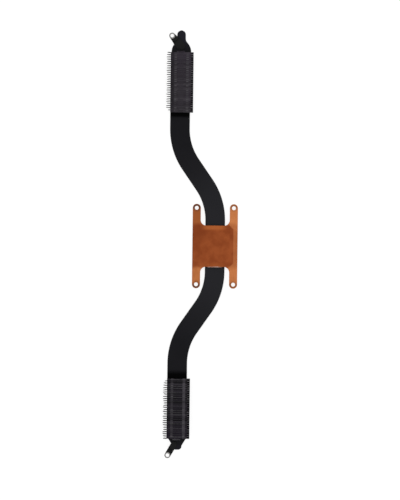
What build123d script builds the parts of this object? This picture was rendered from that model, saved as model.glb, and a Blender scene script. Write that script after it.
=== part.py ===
from build123d import *
import os
from math import atan2, cos, degrees, radians, sin, tan

# Laptop heatsink: a flat bent heat pipe, a cold plate at its middle and a fin stack at each end.
# The origin lies on the pad face that meets the processor, midway between the plate's screw holes.
# +Z points out of that face, and +Y runs along the pipe towards its fill end. All sizes are in
# millimetres and degrees.

# Heat pipe: a round tube pressed flat and bent four times in its own plane
pipe_width = 11.5
pipe_thickness = 2.0
pipe_edge_radius = 0.95
mid_straight = 30.0
bend_radius = 36.5
bend_angle = 34.7
slant_straight = 14.5
lead_straight = 9.3

# Ends of the pipe, under the fins and past them: pressed a little off the axis
end_shift = 0.35

# Fill end of the pipe: a round shoulder down to a pinched stub
shoulder_lead = 0.5
shoulder_length = 6.4
stub_width = 5.0
stub_straight = 3.85
stub_fillet = 3.5

# Blind end of the pipe: a spun cone with a blunt tip
cone_tuck = 1.05
cone_length = 5.2
cone_fillet = 1.0
tip_width = 5.25
tip_straight = 2.3
tip_corner = 1.84

# Cold plate: a stamped H with a coined pad
hole_spacing_x = 21.65
hole_spacing_y = 44.6
arm_hole = 2.3
arm_width = 4.7
plate_length = 24.1
plate_thickness = 1.05
throat_fillet = 3.3
pad_left_margin = 0.5
pad_right_margin = 2.5
pad_end_margin = 0.6
pad_corner = 2.6
pad_rise = 0.25
pad_edge_radius = 0.15

# Fins: folded sheet, each with a front and a back flange that reaches the next fin
fin_count = 28
blind_stack_shift = 0.4
fin_pitch = 1.285
fin_thickness = 0.2
fin_height = 4.5
fin_overhang = 1.8
fin_open_strip = 1.4
fold_bevel = 0.12
fold_gap = 0.05
nose_length = 2.4
short_nose_length = 1.3
nose_tip_height = 1.8
nose_corner = 0.5
solder_tab_width = 4.7
solder_tab_length = 1.2

# Interlock: tongues on each front flange drop into notches in the fold of the next fin
tongue_first = 2.9
tongue_spacing = 6.85
tongue_width = 1.4
tongue_reach = 0.5
tongue_clearance = 0.05

# Screw ears: bent strips soldered on the pipe ends
ear_thickness = 0.5
ear_rise = 0.8
ear_bend_angle = 45.0
ear_flat_reach = 3.1
ear_hole = 2.1
ear_ring_width = 3.5
ear_hole_inset = 0.65
ear_foot_clearance = 0.2
fill_hole_reach = 9.9
fill_foot_width = 5.4
fill_foot_side = 0.2
blind_hole_reach = 9.5
blind_foot_width = 3.6
blind_foot_side = 1.4

# Levels, counted from the pad face
plate_front = -pad_rise
pipe_front = plate_front - plate_thickness
pipe_back = pipe_front - pipe_thickness
fin_front = pipe_front + fin_height
pipe_edge = min(pipe_edge_radius, 0.475 * pipe_thickness)

# Places along and across the pipe, worked out from its straights and bends
pipe_half = pipe_width / 2
bend_turn = radians(bend_angle)
pipe_shift = 2 * bend_radius * (1 - cos(bend_turn)) + slant_straight * sin(bend_turn)
bend_reach = 2 * bend_radius * sin(bend_turn) + slant_straight * cos(bend_turn)
axis_x = -pipe_shift
stack_inner = mid_straight / 2 + bend_reach + lead_straight
stack_length = (fin_count - 1) * fin_pitch + fin_thickness
stack_outer = stack_inner + stack_length
end_axis = axis_x + end_shift
drift_length = 0.85 * stack_length
drift_turn = 2 * atan2(end_shift, drift_length)
drift_radius = drift_length / 2 / sin(drift_turn)
fin_left = axis_x - pipe_half
fin_right = axis_x + pipe_half + fin_overhang
fin_width = fin_right - fin_left
same_place = 0.001

os.makedirs("parts", exist_ok=True)


def finish(piece, label):
    """Label one finished piece and write it."""
    piece.label = label
    export_step(piece, f"parts/{label}.step")


# Heat pipe
with BuildPart() as heat_pipe:
    with BuildSketch(Plane.XY.offset(pipe_back)) as pipe_plan:
        # Main run, one constant width along the bent centreline
        with BuildLine():
            middle = Line((0, 0), (0, mid_straight / 2))
            first_bend = JernArc(middle @ 1, middle % 1, bend_radius, bend_angle)
            slant = Line(first_bend @ 1, (first_bend @ 1) + (first_bend % 1) * slant_straight)
            second_bend = JernArc(slant @ 1, slant % 1, bend_radius, -bend_angle)
            lead = Line(second_bend @ 1, (axis_x, stack_inner))
            drift_out = JernArc(lead @ 1, lead % 1, drift_radius, -degrees(drift_turn))
            drift_back = JernArc(drift_out @ 1, drift_out % 1, drift_radius, degrees(drift_turn))
            Line(drift_back @ 1, (end_axis, stack_outer - cone_tuck))
            mirror(about=Plane.XZ)
        trace(line_width=pipe_width)

        # Fill end
        stub_half = stub_width / 2
        shoulder_start = stack_outer + shoulder_lead
        shoulder_end = shoulder_start + shoulder_length
        shoulder_turn = 2 * atan2(pipe_half - stub_half, shoulder_length)
        shoulder_radius = shoulder_length / sin(shoulder_turn)
        stub_centre = shoulder_end + stub_straight
        with BuildLine():
            base_y = stack_outer - cone_tuck
            base = Line((end_axis, base_y), (end_axis + pipe_half, base_y))
            side = Line(base @ 1, (end_axis + pipe_half, shoulder_start))
            shoulder = JernArc(side @ 1, (0, 1), shoulder_radius, degrees(shoulder_turn))
            stub = Line(shoulder @ 1, (end_axis + stub_half, stub_centre))
            JernArc(stub @ 1, (0, 1), stub_half, 90)
            mirror(about=Plane.YZ.offset(end_axis))
        make_face()
        stub_corners = pipe_plan.vertices().filter_by_position(
            Axis.Y, shoulder_end - stub_fillet / 2, shoulder_end + stub_fillet / 2
        )
        fillet(stub_corners, stub_fillet)

        # Blind end
        tip_half = tip_width / 2
        cone_start = cone_tuck - stack_outer
        cone_end = cone_start - cone_length
        tip_end = cone_end - tip_straight
        with BuildLine():
            Polyline(
                (end_axis, cone_start),
                (end_axis + pipe_half, cone_start),
                (end_axis + tip_half, cone_end),
                (end_axis + tip_half, tip_end),
                (end_axis, tip_end),
            )
            mirror(about=Plane.YZ.offset(end_axis))
        make_face()
        cone_corners = pipe_plan.vertices().filter_by_position(
            Axis.Y, cone_end - cone_fillet / 2, cone_start + cone_fillet / 2
        )
        fillet(cone_corners, min(cone_fillet, 0.4 * tip_straight))
        tip_corners = pipe_plan.vertices().group_by(Axis.Y)[0]
        fillet(tip_corners, min(tip_corner, 0.8 * tip_straight, 0.45 * tip_width))
    extrude(amount=pipe_thickness)
    fillet(heat_pipe.faces().filter_by(Axis.Z).edges(), pipe_edge)
finish(heat_pipe.part, "heat_pipe")


# Cold plate
with BuildPart() as cold_plate:
    with BuildSketch(Plane.XY.offset(pipe_front)) as plate_plan:
        Rectangle(hole_spacing_x, plate_length)
        with GridLocations(hole_spacing_x, 0, 2, 1):
            SlotCenterToCenter(hole_spacing_y, arm_width, rotation=90)
        throat_corners = plate_plan.vertices().filter_by(
            lambda corner: abs(abs(corner.Y) - plate_length / 2) < same_place
        )
        fillet(throat_corners, throat_fillet)
    extrude(amount=plate_thickness)
    with BuildSketch(Plane.XY.offset(plate_front)):
        pad_left = pad_left_margin - (hole_spacing_x + arm_width) / 2
        pad_right = (hole_spacing_x + arm_width) / 2 - pad_right_margin
        with Locations(((pad_left + pad_right) / 2, 0)):
            RectangleRounded(pad_right - pad_left, plate_length - 2 * pad_end_margin, pad_corner)
    extrude(amount=pad_rise)
    fillet(cold_plate.faces().sort_by(Axis.Z)[-1].edges(), min(pad_edge_radius, 0.8 * pad_rise))
    with Locations((0, 0, plate_front)):
        with GridLocations(hole_spacing_x, hole_spacing_y, 2, 2):
            Hole(arm_hole / 2)
finish(cold_plate.part, "cold_plate")


def make_fin(end, number):
    """One folded fin.

    end is 1 at the fill end and -1 at the blind end. number counts outwards from 1, the plain end
    plate. The web stands on the plane of its outer face, and the flanges run inwards from there.
    """
    first_fin = stack_inner - (blind_stack_shift if end < 0 else 0)
    outer_face = end * (first_fin + (number - 1) * fin_pitch + fin_thickness)
    fin_plane = Plane.XZ.offset(-outer_face)
    nose = {1: 0.0, 2: short_nose_length}.get(number, nose_length)
    middle_z = (pipe_front + fin_front) / 2
    flange_length = fin_pitch - fold_gap
    tongue_end = flange_length + fold_gap + (fin_thickness if number == 2 else tongue_reach)
    tongue_centres = [fin_left + tongue_first + step * tongue_spacing for step in range(2)]

    with BuildPart() as fin:
        with BuildSketch(fin_plane) as web:
            with BuildLine():
                tip_low = (fin_left - nose, middle_z - nose_tip_height / 2)
                tip_high = (fin_left - nose, middle_z + nose_tip_height / 2)
                Polyline(
                    (fin_left, pipe_front),
                    (fin_right, pipe_front),
                    (fin_right, fin_front),
                    (fin_left, fin_front),
                    *([tip_high, tip_low] if nose else []),
                    close=True,
                )
            make_face()
            if nose:
                fillet(web.vertices().group_by(Axis.X)[0], min(nose_corner, 0.45 * nose_tip_height))
        extrude(amount=end * fin_thickness)

        if number > 1:
            with BuildSketch(fin_plane):
                with Locations((fin_left, fin_front)):
                    Rectangle(fin_width - fin_open_strip, fin_thickness, align=(Align.MIN, Align.MAX))
                with Locations((fin_left, pipe_front)):
                    Rectangle(fin_width, fin_thickness, align=(Align.MIN, Align.MIN))
            extrude(amount=end * flange_length)
            folds = fin.edges().filter_by(Axis.X).group_by(Axis.Y)[-1 if end > 0 else 0]
            chamfer(folds, min(fold_bevel, 0.8 * fin_thickness))
            with BuildSketch(fin_plane):
                for centre in tongue_centres:
                    with Locations((centre, fin_front)):
                        Rectangle(tongue_width, fin_thickness, align=(Align.CENTER, Align.MAX))
            extrude(amount=end * tongue_end)

        if number < fin_count:
            with BuildSketch(fin_plane):
                for centre in tongue_centres:
                    with Locations((centre, fin_front)):
                        Rectangle(
                            tongue_width + 2 * tongue_clearance,
                            fin_thickness + tongue_clearance,
                            align=(Align.CENTER, Align.MAX),
                        )
            extrude(amount=end * (tongue_reach + tongue_clearance), mode=Mode.SUBTRACT)

        if number == fin_count:
            with BuildSketch(fin_plane):
                with Locations((axis_x, pipe_front)):
                    Rectangle(solder_tab_width, fin_thickness, align=(Align.CENTER, Align.MIN))
            extrude(amount=-end * solder_tab_length)
    return fin.part


# Fin stacks
for end_name, end in (("fill_end", 1), ("blind_end", -1)):
    for number in range(1, fin_count + 1):
        finish(make_fin(end, number), f"{end_name}_fin_{number:02d}")


def make_ear(end, hole_reach, foot_width, foot_side):
    """One screw ear: a foot on the pipe end, a joggle and a ring round the screw hole.

    end is 1 at the fill end and -1 at the blind end. hole_reach is how far the screw hole lies past
    the fins, and foot_side how far the foot sits off the pipe's axis, towards the hole's side.
    """
    foot_reach = solder_tab_length + ear_foot_clearance + foot_width / 2
    foot = Vector(axis_x - foot_side, end * (stack_outer + foot_reach), 0)
    hole = Vector(fin_left + ear_hole_inset, end * (stack_outer + hole_reach), 0)
    along = (hole - foot).normalized()
    length = (hole - foot).length
    side_plane = Plane(origin=foot, x_dir=along, z_dir=along.cross(Vector(0, 0, 1)))
    ear_turn = radians(ear_bend_angle)
    bend_end = length - ear_flat_reach
    bend_start = bend_end - ear_rise / tan(ear_turn)
    top_shift = ear_thickness * tan(ear_turn / 2)
    strip_start = -foot_width / 2
    strip_end = length + ear_ring_width / 2
    foot_top = pipe_front + ear_thickness
    ring_back = pipe_front + ear_rise

    with BuildPart() as ear:
        with BuildSketch(side_plane):
            with BuildLine():
                Polyline(
                    (strip_start, pipe_front),
                    (bend_start, pipe_front),
                    (bend_end, ring_back),
                    (strip_end, ring_back),
                    (strip_end, ring_back + ear_thickness),
                    (bend_end - top_shift, ring_back + ear_thickness),
                    (bend_start - top_shift, foot_top),
                    (strip_start, foot_top),
                    close=True,
                )
            make_face()
        extrude(amount=max(foot_width, ear_ring_width), both=True)
        with BuildSketch(Plane.XY.offset(pipe_front)):
            with Locations(foot):
                Circle(foot_width / 2)
            with Locations(hole):
                Circle(ear_ring_width / 2)
            make_hull()
        extrude(amount=ear_rise + ear_thickness, mode=Mode.INTERSECT)
        with Locations(hole + Vector(0, 0, ring_back + ear_thickness)):
            Hole(ear_hole / 2)
    return ear.part


# Screw ears
finish(make_ear(1, fill_hole_reach, fill_foot_width, fill_foot_side), "fill_end_ear")
finish(make_ear(-1, blind_hole_reach, blind_foot_width, blind_foot_side), "blind_end_ear")
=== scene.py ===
"""Looks of a laptop heatsink: painted flat pipe, bare copper plate, folded fins and screw ears."""

import logging
import math
from dataclasses import dataclass, replace
from enum import Enum, IntEnum
from typing import Any, Callable, Sequence

import bmesh
import bpy
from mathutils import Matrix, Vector


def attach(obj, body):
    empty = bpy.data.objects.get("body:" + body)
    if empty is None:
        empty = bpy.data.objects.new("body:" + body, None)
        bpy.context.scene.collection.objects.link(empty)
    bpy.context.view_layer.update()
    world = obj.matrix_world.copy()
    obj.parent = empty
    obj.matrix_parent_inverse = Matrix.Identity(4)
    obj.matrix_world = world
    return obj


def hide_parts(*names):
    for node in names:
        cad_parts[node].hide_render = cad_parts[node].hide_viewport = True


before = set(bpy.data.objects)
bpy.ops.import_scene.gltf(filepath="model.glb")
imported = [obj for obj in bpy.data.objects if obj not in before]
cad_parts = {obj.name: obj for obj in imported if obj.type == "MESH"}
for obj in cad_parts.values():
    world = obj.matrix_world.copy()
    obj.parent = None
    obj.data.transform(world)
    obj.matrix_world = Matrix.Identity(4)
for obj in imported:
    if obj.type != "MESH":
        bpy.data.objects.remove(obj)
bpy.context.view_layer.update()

log = logging.getLogger("heatsink")

Colour = tuple[float, float, float]
Point = tuple[float, float]
Place = tuple[float, float, float]
Ring = list[bmesh.types.BMVert]
Socket = bpy.types.NodeSocket

MM = 0.001
BODY = "root"
BLACK: Colour = (0.0, 0.0, 0.0)

# Points nearer than this are one point
SAME_POINT = 0.0002 * MM

# Levels of the parts, counted from the pad face
PLATE_FRONT = -0.25 * MM
PIPE_FRONT = -1.3 * MM
PIPE_BACK = -3.3 * MM
FIN_FRONT = 3.2 * MM
FIN_MIDDLE = (PIPE_FRONT + FIN_FRONT) / 2

# Share of a lip's width by which it is eased at its middle, and cuts round a screw hole
LIP_EASE = 0.3
HOLE_CUTS = 36

# Columns of a fin's grid that hold the tongues, and cuts along its nose
HOOKS = (1, 3)
NOSE_CUTS = (0.3, 0.6, 0.8, 0.9, 0.96, 1.0)

# Middle of the range of noise, and of the fins' shades
MEAN_NOISE = 0.5
MEAN_SHADE = 0.5

# Seeds of the fins' random draws, past their stack's own seed
SAG_SEED = 1.0
WEAR_SEED = 3.0
RUB_SEED = 5.0


class PipeEnd(Enum):
    """The two ends of the pipe, by their direction along Y."""

    FILL = 1
    BLIND = -1

    @property
    def title(self) -> str:
        """Name of this end, as the solids use it."""
        return f"{self.name.lower()}_end"


class FinKind(Enum):
    """The shapes of fin in one stack, from its inner end outwards."""

    END_PLATE = "end_plate"
    SHORT_NOSE = "short_nose"
    PLAIN = "plain"
    OUTERMOST = "outermost"


class FinRow(IntEnum):
    """Rows of a fin's grid where its sheet changes, from the front tongues to the web's foot."""

    TONGUE = 0
    EDGE = 1
    NOTCH = 2
    FOLD = 3
    WEB_TOP = 6
    WEB_FOOT = 9


@dataclass(frozen=True)
class Fade:
    """Smooth change from a first number to a last one over a range."""

    start: float
    end: float
    first: float = 0.0
    last: float = 1.0

    def past(self, place: float) -> "Fade":
        """The same change, counted from a place."""
        return replace(self, start=self.start + place, end=self.end + place)


@dataclass(frozen=True)
class Noise:
    """Noise by its features to a metre, its octaves and, if drawn out, a scale for each axis."""

    scale: float
    detail: float
    stretch: Place | None = None


class Wiring:
    """Places nodes in a tree and joins their sockets."""

    def __init__(self, tree: bpy.types.NodeTree) -> None:
        """Work on one tree."""
        self.tree = tree

    def place(
        self, kind: str, feeds: dict[str, Any] | None = None, **settings: Any
    ) -> bpy.types.Node:
        """Add one node.

        Args:
            kind: Blender's name for the type of node.
            feeds: A value or an output socket for each input, by the input's identifier or name.
            settings: Properties of the node itself.

        Returns:
            The new node.
        """
        node = self.tree.nodes.new(kind)
        for key, value in settings.items():
            setattr(node, key, value)
        for key, value in (feeds or {}).items():
            self.feed(node, key, value)
        return node

    def feed(self, node: bpy.types.Node, key: str, value: Any) -> None:
        """Set one input of a node, or link an output socket to it.

        Args:
            node: The node to feed.
            key: Identifier or name of the input.
            value: A plain value, or the socket to link from.
        """
        socket = next(s for s in node.inputs if key in (s.identifier, s.name))
        if isinstance(value, bpy.types.NodeSocket):
            self.tree.links.new(value, socket)
        else:
            socket.default_value = value

    def maths(self, operation: str, first: Any, second: Any = 0.0) -> Socket:
        """Work out one number from two, by Blender's name for the operation."""
        feeds = {"Value": first, "Value_001": second}
        return self.place("ShaderNodeMath", feeds, operation=operation).outputs[0]

    def plus(self, first: Any, second: Any) -> Socket:
        """Add two numbers."""
        return self.maths("ADD", first, second)

    def minus(self, first: Any, second: Any) -> Socket:
        """Take the second number from the first."""
        return self.maths("SUBTRACT", first, second)

    def times(self, first: Any, second: Any) -> Socket:
        """Multiply two numbers."""
        return self.maths("MULTIPLY", first, second)

    def over(self, first: Any, second: Any) -> Socket:
        """Divide the first number by the second."""
        return self.maths("DIVIDE", first, second)

    def positive(self, value: Any) -> Socket:
        """Drop the sign of a number."""
        return self.maths("ABSOLUTE", value)

    def vectors(self, operation: str, first: Any, second: Any = (0.0, 0.0, 0.0)) -> bpy.types.Node:
        """Work on two vectors, in a node that may give a vector or a number."""
        feeds = {"Vector": first, "Vector_001": second}
        return self.place("ShaderNodeVectorMath", feeds, operation=operation)

    def join(self, **axes: Any) -> Socket:
        """Make a vector from its axes, by their names."""
        return self.place("ShaderNodeCombineXYZ", axes).outputs[0]

    def split(self, vector: Socket) -> bpy.types.NodeOutputs:
        """Take a vector apart into its axes, by their names."""
        return self.place("ShaderNodeSeparateXYZ", {"Vector": vector}).outputs

    def fade(self, value: Socket, change: Fade) -> Socket:
        """Turn one number into another by a smooth change.

        Args:
            value: The number that runs over the change's range.
            change: The change, which stays at its first and last number outside the range.

        Returns:
            The socket of the result.
        """
        feeds = {
            "Value": value,
            "From Min": change.start,
            "From Max": change.end,
            "To Min": change.first,
            "To Max": change.last,
        }
        node = self.place("ShaderNodeMapRange", feeds, interpolation_type="SMOOTHSTEP")
        return node.outputs["Result"]


class Surface(Wiring):
    """Wiring of one material round a Principled shader."""

    def __init__(self, name: str) -> None:
        """Start a material with its shader and its own coordinates.

        Args:
            name: Name of the material.
        """
        self.material = bpy.data.materials.new(name)
        self.material.use_nodes = True
        super().__init__(self.material.node_tree)
        self.tree.nodes.clear()
        self.shader = self.place("ShaderNodeBsdfPrincipled")
        self.place("ShaderNodeOutputMaterial", {"Surface": self.shader.outputs["BSDF"]})
        self.coords = self.place("ShaderNodeTexCoord").outputs["Object"]

    def set(self, **values: Any) -> None:
        """Set the shader's inputs by name, with an underscore for each space."""
        for key, value in values.items():
            self.feed(self.shader, key.replace("_", " "), value)

    def noise(self, pattern: Noise, coords: Socket | None = None) -> Socket:
        """Spread noise over the piece.

        Args:
            pattern: The noise.
            coords: What it follows, if not the piece's own coordinates.

        Returns:
            The socket of the noise, about 0.5 on average.
        """
        spot = self.coords if coords is None else coords
        if pattern.stretch:
            feeds = {"Vector": spot, "Scale": pattern.stretch}
            spot = self.place("ShaderNodeMapping", feeds).outputs[0]
        feeds = {"Vector": spot, "Scale": pattern.scale, "Detail": pattern.detail}
        return self.place("ShaderNodeTexNoise", feeds).outputs["Fac"]

    def attribute(self, name: str) -> bpy.types.NodeOutputs:
        """Read an attribute that the mesh carries."""
        return self.place("ShaderNodeAttribute", attribute_name=name).outputs

    def blend(self, share: Socket, first: Any, second: Any) -> Socket:
        """Mix two colours.

        Args:
            share: How much of the second colour, from 0 to 1.
            first: Colour or socket at 0.
            second: Colour or socket at 1.

        Returns:
            The socket of the mixed colour.
        """
        pair = [c if isinstance(c, bpy.types.NodeSocket) else (*c, 1.0) for c in (first, second)]
        feeds = {"Factor_Float": share, "A_Color": pair[0], "B_Color": pair[1]}
        node = self.place("ShaderNodeMix", feeds, data_type="RGBA")
        return next(s for s in node.outputs if s.identifier == "Result_Color")

    def between(self, share: Socket, first: Any, second: Any) -> Socket:
        """Mix two numbers.

        Args:
            share: How much of the second number, from 0 to 1.
            first: Number or socket at 0.
            second: Number or socket at 1.

        Returns:
            The socket of the mixed number.
        """
        feeds = {"Factor_Float": share, "A_Float": first, "B_Float": second}
        node = self.place("ShaderNodeMix", feeds, data_type="FLOAT")
        return next(s for s in node.outputs if s.identifier == "Result_Float")

    def wired(self, name: str) -> Socket:
        """The socket that feeds one of the shader's inputs so far."""
        return self.shader.inputs[name].links[0].from_socket

    def reach(self, hole: Point, mirrored: bool = False) -> Socket:
        """Distance from a hole, seen from the front.

        Args:
            hole: Place of the hole.
            mirrored: Whether the hole is repeated in all four corners.

        Returns:
            The socket of the distance from the nearest hole.
        """
        flat = self.vectors("MULTIPLY", self.coords, (1.0, 1.0, 0.0))
        if mirrored:
            flat = self.vectors("ABSOLUTE", flat.outputs[0])
        return self.vectors("DISTANCE", flat.outputs[0], (*hole, 0.0)).outputs["Value"]

    def raise_skin(self, height: Socket, depth: float, share: float) -> None:
        """Give the surface a fine relief by a height from 0 to 1, of which a share shows."""
        feeds = {"Height": height, "Distance": depth, "Strength": share}
        self.set(Normal=self.place("ShaderNodeBump", feeds).outputs["Normal"])


@dataclass(frozen=True)
class SatinPaint:
    """Thin black paint with clouding, a fine skin and rubbed places."""

    name: str
    body: Colour
    cloud: Colour
    rubbed: Colour
    gloss: float = 0.09
    roughness: Fade = Fade(0.0, 1.0, 0.40, 0.54)
    cloud_noise: Noise = Noise(70.0, 4.0)
    cloud_fade: Fade = Fade(0.35, 0.68)
    grain_noise: Noise = Noise(2600.0, 3.0)
    speckle_fade: Fade = Fade(0.35, 0.7, 0.0, 0.45)
    patch_noise: Noise = Noise(900.0, 2.0)
    patch_fade: Fade = Fade(0.3, 0.6, 0.45, 1.0)
    skin_depth: float = 0.02 * MM
    skin_share: float = 0.5

    def surface(self) -> Surface:
        """Wire the paint.

        Returns:
            The wiring, with the shader's colour, roughness and relief in place.
        """
        paint = Surface(self.name)
        clouding = paint.fade(paint.noise(self.cloud_noise), self.cloud_fade)
        grain = paint.noise(self.grain_noise)
        colour = paint.blend(clouding, self.body, self.cloud)
        colour = paint.blend(paint.fade(grain, self.speckle_fade), colour, self.cloud)
        patchy = paint.fade(paint.noise(self.patch_noise), self.patch_fade)
        worn = paint.times(paint.attribute("rubbed")["Fac"], patchy)
        paint.set(
            Base_Color=paint.blend(worn, colour, self.rubbed),
            Roughness=paint.fade(clouding, self.roughness),
            Specular_IOR_Level=self.gloss,
        )
        paint.raise_skin(self.skin(paint, grain), self.skin_depth, self.skin_share)
        return paint

    def skin(self, paint: Surface, grain: Socket) -> Socket:
        """Height of the paint's skin: its grain alone, unless a kind of paint adds to it."""
        return grain

    def material(self) -> bpy.types.Material:
        """The finished material."""
        return self.surface().material


@dataclass(frozen=True)
class DrawnPaint(SatinPaint):
    """Satin paint on a drawn tube: faint marks along its run, painted light that greys its middle,
    and a painted shadow, matt and near black, by the fins.
    """

    skin_depth: float = 0.015 * MM
    draw_noise: Noise = Noise(1500.0, 3.0, (1.0, 0.03, 1.0))
    draw_share: float = 0.7
    # Painted light: the pipe is lighter near the plate, fading out along its run
    handled: Colour = (0.0118, 0.0118, 0.0143)
    handled_fade: Fade = Fade(18.0 * MM, 64.0 * MM, 1.0, 0.0)
    tip: Colour = (0.0088, 0.0082, 0.0132)
    tip_fade: Fade = Fade(119.0 * MM, 127.0 * MM)
    # Painted shadow: near-black paint just before each fin stack, where the fins shade the pipe
    sheltered: Colour = (0.0003, 0.0003, 0.0004)
    fins_start: float = 83.0 * MM
    shelter_fade: Fade = Fade(1.44 * MM, 3.6 * MM, 1.0, 0.0)
    shelter_stretch: Fade = Fade(-1.0 * MM, 1.0 * MM, 1.7, 1.0)
    under_fade: Fade = Fade(1.0 * MM, 2.0 * MM, 1.0, 0.0)

    def skin(self, paint: Surface, grain: Socket) -> Socket:
        """Height of the paint's skin, with the tube's draw marks under the grain."""
        marks = paint.noise(self.draw_noise, paint.attribute("lay")["Vector"])
        return paint.plus(paint.times(marks, self.draw_share), grain)

    def surface(self) -> Surface:
        """Wire the paint and how it changes along the tube, with its painted light and painted
        shadow.

        Returns:
            The wiring of the paint.
        """
        paint = super().surface()
        signed_run = paint.split(paint.attribute("lay")["Vector"])["Y"]
        run = paint.positive(signed_run)
        # Painted light on the middle of the pipe, near the plate
        handled = paint.fade(run, self.handled_fade)
        colour = paint.blend(handled, paint.wired("Base Color"), self.handled)
        colour = paint.blend(paint.fade(run, self.tip_fade), colour, self.tip)
        # Painted shadow just before each fin stack: near-black colour, also made fully rough
        stretch = paint.fade(signed_run, self.shelter_stretch)
        ahead = paint.over(paint.minus(self.fins_start, run), stretch)
        under = paint.fade(run, self.under_fade.past(self.fins_start))
        painted_shadow_share = paint.times(paint.fade(ahead, self.shelter_fade), under)
        paint.set(
            Base_Color=paint.blend(painted_shadow_share, colour, self.sheltered),
            Roughness=paint.between(painted_shadow_share, paint.wired("Roughness"), 1.0),
        )
        return paint


@dataclass(frozen=True)
class Stripe:
    """One stripe along a fin stack, where the paint is lighter or darker."""

    place: float
    half: float
    share: float
    colour: Colour
    core: float = 0.6
    blur: float = 1.25

    def fade(self) -> Fade:
        """How the stripe thins out on both sides of its middle."""
        return Fade(self.core * self.half, self.blur * self.half, self.share, 0.0)


@dataclass(frozen=True)
class WeatheredPaint(SatinPaint):
    """Satin paint that has bloomed in broad purplish patches, with stripes along the stack that are
    lighter or darker.
    """

    bloom: Colour = (0.02, 0.016, 0.024)
    bloom_noise: Noise = Noise(45.0, 1.5)
    bloom_fade: Fade = Fade(0.45, 0.62, 0.0, 0.55)
    outer_fade: Fade = Fade(84.0 * MM, 110.0 * MM, 0.0, 0.45)
    worn_fade: Fade = Fade(0.0, 0.3, 1.0, 0.0)
    pale: Colour = (0.02, 0.018, 0.022)
    fin_spread: float = 0.5
    dark_spread: float = 0.6
    middle: float = -21.0 * MM
    even_fade: Fade = Fade(0.0, 0.8 * MM, 1.0, 1.0)
    stripes: tuple[Stripe, ...] = ()
    streak_noise: Noise = Noise(1.0, 2.0, (900.0, 160.0, 160.0))
    streak_fade: Fade = Fade(0.3, 0.6, 0.6, 1.0)
    streak_shade: Fade = Fade(0.0, 1.0, 0.4, 1.0)

    def surface(self) -> Surface:
        """Wire the paint, its bloom, the shade of each fin and the stripes.

        Returns:
            The wiring of the paint.
        """
        paint = super().surface()
        axes = paint.split(paint.coords)
        patches = paint.fade(paint.noise(self.bloom_noise), self.bloom_fade)
        outwards = paint.fade(paint.positive(axes["Y"]), self.outer_fade)
        unworn = paint.fade(paint.attribute("rubbed")["Fac"], self.worn_fade)
        bloomed = paint.times(paint.plus(patches, outwards), unworn)
        colour = paint.blend(bloomed, paint.wired("Base Color"), self.bloom)

        shade = paint.attribute("fin_shade")["Fac"]
        spread = paint.fade(paint.positive(paint.minus(axes["X"], self.middle)), self.even_fade)
        darker = paint.fade(shade, Fade(0.0, MEAN_SHADE, self.dark_spread, 0.0))
        lighter = paint.fade(shade, Fade(MEAN_SHADE, 1.0, 0.0, self.fin_spread))
        colour = paint.blend(paint.times(darker, spread), colour, BLACK)
        colour = paint.blend(paint.times(lighter, spread), colour, self.pale)

        streaks = paint.fade(paint.noise(self.streak_noise), self.streak_fade)
        streaks = paint.times(streaks, paint.fade(shade, self.streak_shade))
        for stripe in self.stripes:
            aside = paint.positive(paint.minus(axes["X"], stripe.place))
            share = paint.times(paint.fade(aside, stripe.fade()), streaks)
            colour = paint.blend(share, colour, stripe.colour)
        paint.set(Base_Color=colour)
        return paint


@dataclass(frozen=True)
class RingedPaint(SatinPaint):
    """Satin paint with a bare metal ring round a screw hole."""

    hole: Point = (0.0, 0.0)
    ring_fade: Fade = Fade(1.8 * MM, 1.92 * MM, 1.0, 0.0)
    ragged: float = 0.3 * MM
    ragged_noise: Noise = Noise(1800.0, 2.0)
    bare_dark: Colour = (0.1875, 0.18375, 0.18)
    bare_bright: Colour = (0.3, 0.294, 0.288)
    bare_noise: Noise = Noise(2200.0, 2.0)
    bare_roughness: float = 0.34

    def surface(self) -> Surface:
        """Wire the paint and the ring that the screw keeps bare.

        Returns:
            The wiring of the paint.
        """
        paint = super().surface()
        ragged = paint.times(paint.noise(self.ragged_noise), self.ragged)
        ring = paint.fade(paint.plus(paint.reach(self.hole), ragged), self.ring_fade)
        metal = paint.blend(paint.noise(self.bare_noise), self.bare_dark, self.bare_bright)
        paint.set(
            Base_Color=paint.blend(ring, paint.wired("Base Color"), metal),
            Metallic=ring,
            Roughness=paint.between(ring, paint.wired("Roughness"), self.bare_roughness),
        )
        return paint


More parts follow.
